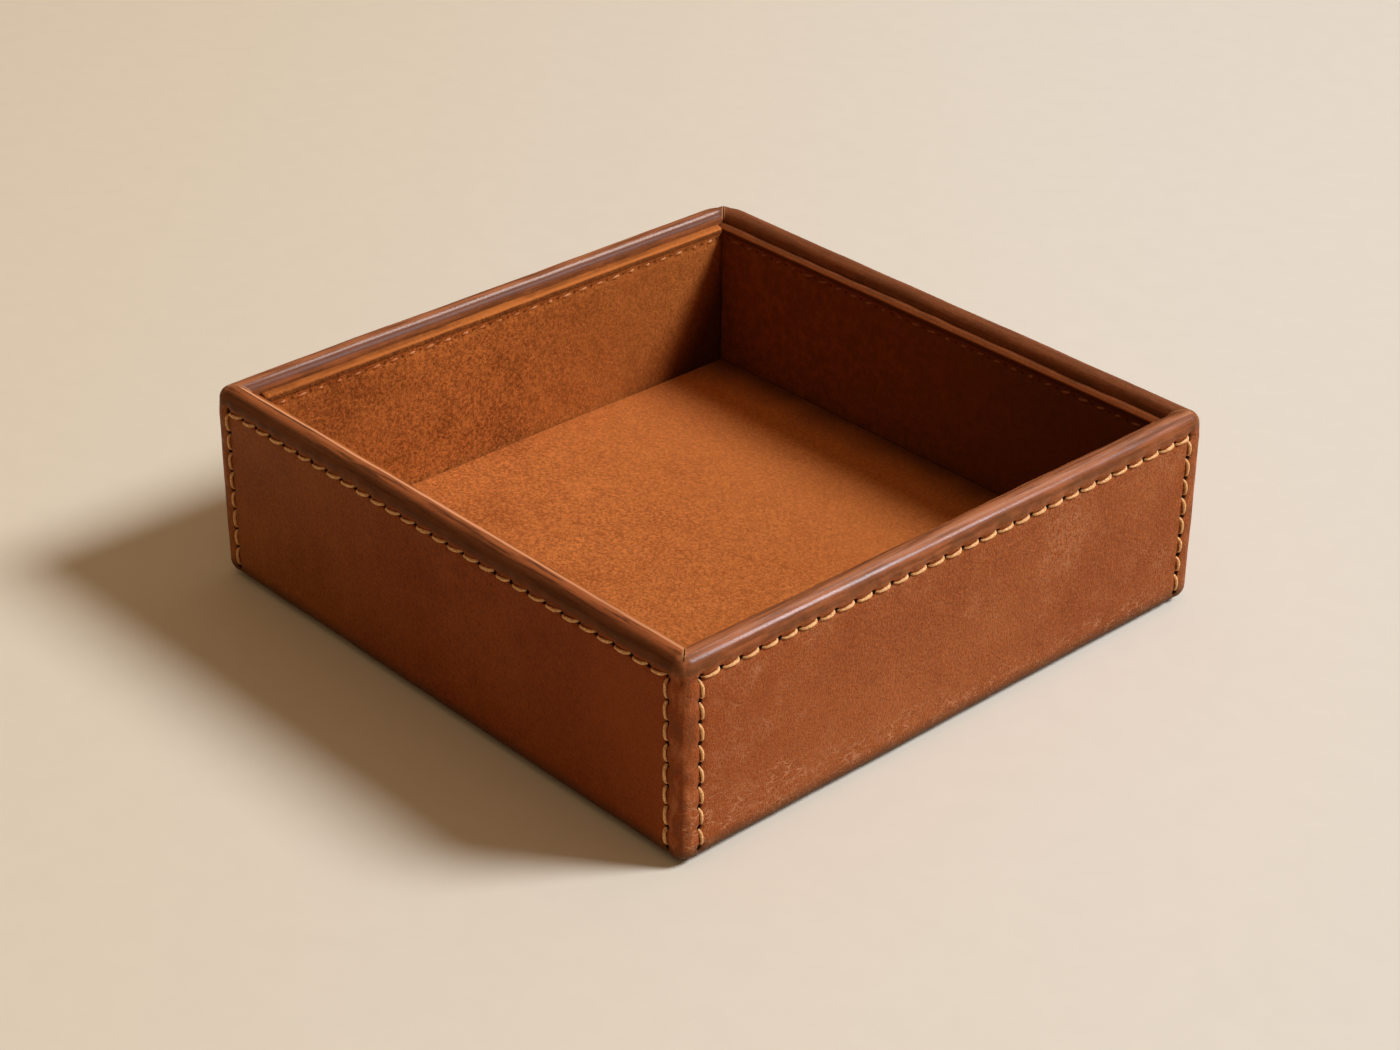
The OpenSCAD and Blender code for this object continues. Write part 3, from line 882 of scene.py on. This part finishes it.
def suede_finish(name, dark, light, breadth, depth, crest_highlight=None, shaded_from=57.0, right_shade=0.3):
    """Suede with painted shade towards the back and to the right, and with its fold where it has one."""
    finish = Finish(name, specular_ior_level=0.05, sheen_weight=0.06, sheen_roughness=0.4,
                    sheen_tint=(0.9, 0.42, 0.16, 1))
    curls = finish.noise(breadth, 6, 0.75)
    brushed = finish.noise(16, 3, 0.55)
    fibre = finish.noise(0.35, 4, 0.7)
    strokes = finish.maths("ABSOLUTE", finish.noise(2.2 * breadth, 3, 0.65) - 0.5)
    strokes = finish.step(strokes, 0.0, 0.05, 1.0, 0.0) * finish.step(brushed, 0.4, 0.6)
    colour = finish.blend(finish.step(curls * 0.6 + brushed * 0.2 + fibre * 0.2, 0.4, 0.6), dark, light)
    colour = finish.blend(strokes * 0.5, colour, dark)
    x, y, z = finish.axes()
    middle = tuple((low + high) / 2 for low, high in zip(dark, light))
    colour = finish.blend(finish.step(y + brushed * 30.0, 0.0, 60.0, 0.0, 0.5), colour, middle)
    # Painted shade, darker towards the right
    colour = finish.blend(finish.step(x + brushed * 20.0, -50.0, 70.0, 0.0, right_shade), colour, dark)
    # Painted shadow towards the back, reaching further forwards lower down
    shaded = finish.step(y + brushed * 8.0 - z * 0.6, shaded_from, shaded_from + 16.0, 0.0, 0.85)
    colour = finish.blend(shaded, colour, SUEDE_SHADOW)
    if crest_highlight:
        colour = shaded_fold(finish, y, colour, dark, middle, light, crest_highlight)
    finish.bump(curls - strokes * 0.3, depth)
    finish.bump(fibre, depth / 2)
    return finish.done(colour, finish.step(curls, 0.2, 0.8, 0.85, 0.95))


def thread_finish():
    """Straw-coloured waxed thread, darker inside the tray, with painted shade on the back lining."""
    finish = Finish("waxed_thread", specular_ior_level=0.25)
    x, y, _ = finish.axes()
    depth = finish.maths("MINIMUM", HALF_X / MM - finish.maths("ABSOLUTE", x),
                         HALF_Y / MM - finish.maths("ABSOLUTE", y))
    strands = finish.noise(0.5, 3, 0.6)
    colour = finish.blend(finish.step(strands, 0.3, 0.7), (0.52, 0.235, 0.072), (0.90, 0.52, 0.22))
    inside = finish.step(depth, 4.0, 5.0)
    darker_inside = inside * finish.step(finish.noise(6, 2), 0.4, 0.55, 0.7, 1.0)
    colour = finish.blend(darker_inside, colour, (0.43, 0.13, 0.03))
    back_face = (HALF_Y - WALL_DEPTH) / MM
    # Painted shade on the stitches of the back lining
    back_lining_shade = inside * finish.step(y, back_face - 0.5, back_face - 0.1)
    colour = finish.blend(back_lining_shade * 0.75, colour, (0.13, 0.036, 0.010))
    finish.bump(strands, 0.06)
    return finish.done(colour, 0.55)


def board_finish():
    """Board sanded along its fibres."""
    finish = Finish("sanded_board", specular_ior_level=0.3)
    fibres = finish.noise(1.2, 4, 0.6, stretch=(0.1, 0.1, 1.0))
    colour = finish.blend(finish.step(fibres, 0.3, 0.7), (0.45, 0.31, 0.17), (0.62, 0.45, 0.27))
    finish.bump(fibres, 0.05)
    return finish.done(colour, finish.step(fibres, 0.3, 0.7, 0.6, 0.75))


def card_finish():
    """Plain card with flecks."""
    finish = Finish("plain_card", specular_ior_level=0.3)
    flecks = finish.noise(0.8, 4, 0.7)
    colour = finish.blend(finish.step(flecks, 0.35, 0.7), (0.36, 0.30, 0.23), (0.48, 0.41, 0.32))
    finish.bump(flecks, 0.03)
    return finish.done(colour, 0.8)


def dress(piece, slot, material, *nodes):
    """Gives a finished piece its material and its place in the frame."""
    piece.data.materials.clear()
    piece.data.materials.append(material)
    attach(piece, "root")
    if nodes:
        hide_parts(*nodes)


dress(outer_leather(), "outer_leather", leather_finish(), "outer_leather")
wall_suede = suede_finish("wall_suede", (0.19, 0.046, 0.008), (0.61, 0.180, 0.037), 0.85, 0.3,
                          crest_highlight=(0.60, 0.18, 0.04), shaded_from=45.0)
# The back lining: a darker smooth suede, its darkness partly painted shade, with strong painted shade to the
# right
smooth_suede = suede_finish("smooth_suede", (0.095, 0.030, 0.0095), (0.26, 0.066, 0.0155), 2.2, 0.1,
                            crest_highlight=(0.38, 0.108, 0.026), shaded_from=100.0, right_shade=0.75)
floor_suede = suede_finish("floor_suede", (0.33, 0.084, 0.016), (0.77, 0.236, 0.055), 0.8, 0.35)
under_suede = suede_finish("underside_suede", (0.09, 0.035, 0.015), (0.15, 0.065, 0.03), 1.0, 0.15)
for wall, suede in enumerate([wall_suede, wall_suede, smooth_suede, wall_suede]):
    dress(wall_lining(wall), "wall_suede", suede, f"{WALLS[wall]}_lining")
dress(floor_lining(), "floor_suede", floor_suede, "floor_lining")
dress(base_cover(), "underside_suede", under_suede, "base_cover")

thread = straight_thread()
thread_material = thread_finish()
for wall in range(4):
    dress(wall_stitching(thread, wall), "thread", thread_material, f"{WALLS[wall]}_stitching")
bpy.data.objects.remove(thread)

stiffeners = {"board": board_finish(), "card": card_finish()}
for node, cad_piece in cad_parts.items():
    kind = node.split("_")[-1]
    if kind in stiffeners:
        cad_piece.data.materials.clear()
        cad_piece.data.materials.append(stiffeners[kind])

# Floor, light and camera

GROUND_SIZE = 8


def ground():
    """Pale paper floor, with painted light falloff: warmer to the left of the camera, a little darker to the
    right.
    """
    bpy.ops.object.select_all(action="DESELECT")
    bpy.ops.mesh.primitive_plane_add(size=GROUND_SIZE)
    plane = bpy.context.object
    plane.name = "pale_floor"
    finish = Finish("pale_floor", specular_ior_level=0.1)
    x, y, _ = finish.axes()
    paper = finish.noise(9, 4, 0.6)
    near = finish.blend(finish.step(paper, 0.3, 0.7), (0.697, 0.642, 0.550), (0.708, 0.653, 0.560))
    # Painted light falloff: warmer to the left of the camera, a little darker to the right
    colour = finish.blend(finish.step(x + y, -420.0, 250.0, 1.0, 0.0), near, (1.04, 0.98, 0.865), "MULTIPLY")
    colour = finish.blend(finish.step(x + y, 80.0, 480.0), colour, (0.93, 0.93, 0.925), "MULTIPLY")
    plane.data.materials.append(finish.done(colour, 0.9))


def towards(azimuth, elevation):
    """Unit vector towards a place, from its degrees round from the front and up."""
    a, e = math.radians(azimuth), math.radians(elevation)
    return Vector((math.sin(a) * math.cos(e), -math.cos(a) * math.cos(e), math.sin(e)))


def lamp(name, azimuth, elevation, distance, size, power, colour):
    """Round soft light that shines at the tray from a direction."""
    back = towards(azimuth, elevation)
    data = bpy.data.lights.new(name, "AREA")
    data.shape = "DISK"
    data.size = size
    data.energy = power
    data.color = colour
    light = bpy.data.objects.new(name, data)
    light.location = back * distance
    light.rotation_euler = back.to_track_quat("Z", "Y").to_euler()
    bpy.context.scene.collection.objects.link(light)
    return light


def sky(overhead, horizon, shown):
    """Fill light that fades towards the horizon, where the camera and glossy surfaces see a pale backdrop."""
    world = bpy.data.worlds.new("studio")
    world.use_nodes = True
    bpy.context.scene.world = world
    nodes, links = world.node_tree.nodes, world.node_tree.links

    def larger(a, b):
        """Output that is the larger of two."""
        node = nodes.new("ShaderNodeMath")
        node.operation = "MAXIMUM"
        links.new(a, node.inputs[0])
        links.new(b, node.inputs[1])
        return node.outputs[0]

    rays = nodes.new("ShaderNodeLightPath").outputs
    direction = nodes.new("ShaderNodeSeparateXYZ")
    links.new(nodes.new("ShaderNodeTexCoord").outputs["Generated"], direction.inputs[0])
    fade = nodes.new("ShaderNodeMix")
    fade.data_type = "RGBA"
    links.new(direction.outputs["Z"], fade.inputs["Factor"])
    fade.inputs[6].default_value = (*horizon, 1)
    fade.inputs[7].default_value = (*overhead, 1)
    light = nodes["Background"]
    links.new(fade.outputs[2], light.inputs["Color"])
    backdrop = nodes.new("ShaderNodeBackground")
    backdrop.inputs["Color"].default_value = (*shown, 1)
    choice = nodes.new("ShaderNodeMixShader")
    seen = larger(larger(rays["Is Camera Ray"], rays["Is Glossy Ray"]), rays["Is Transmission Ray"])
    links.new(seen, choice.inputs["Fac"])
    links.new(light.outputs[0], choice.inputs[1])
    links.new(backdrop.outputs[0], choice.inputs[2])
    links.new(choice.outputs[0], nodes["World Output"].inputs["Surface"])


# Fitted to the corners, rims and stitch rows of the photograph
PHOTO_WIDTH = 1400
FOCAL_PIXELS = 2947
SENSOR_WIDTH = 36
CAMERA_AZIMUTH = 47.19
CAMERA_ELEVATION = 29.87
CAMERA_ROLL = 0.50
CAMERA_DISTANCE = 691.1 * MM
CAMERA_TARGET = Vector((9.9, -11.0, 25.0)) * MM


def camera():
    """The camera of the photograph."""
    back = towards(CAMERA_AZIMUTH, CAMERA_ELEVATION)
    roll = math.radians(CAMERA_ROLL)
    right = Vector((0, 0, 1)).cross(back).normalized()
    up = back.cross(right)
    across = math.cos(roll) * right + math.sin(roll) * up
    upwards = math.cos(roll) * up - math.sin(roll) * right
    data = bpy.data.cameras.new("camera")
    data.sensor_width = SENSOR_WIDTH
    data.lens = FOCAL_PIXELS / PHOTO_WIDTH * SENSOR_WIDTH
    data.clip_start = 10 * MM
    lens = bpy.data.objects.new("camera", data)
    lens.matrix_world = Matrix.LocRotScale(
        CAMERA_TARGET + back * CAMERA_DISTANCE, Matrix((across, upwards, back)).transposed(), None)
    bpy.context.scene.collection.objects.link(lens)
    bpy.context.scene.camera = lens


ground()
lamp("key_light", azimuth=135, elevation=43, distance=3.1, size=1.0, power=121, colour=(0.89, 0.93, 1.0))
far_shine = lamp("far_shine", azimuth=186, elevation=53.7, distance=2.3, size=0.9, power=60,
                 colour=(1.0, 0.87, 0.80))
far_shine.visible_diffuse = False
sky(overhead=(0.41, 0.275, 0.16), horizon=(0.108, 0.072, 0.041), shown=(0.46, 0.35, 0.24))
camera()
bpy.context.scene.view_settings.view_transform = "Standard"
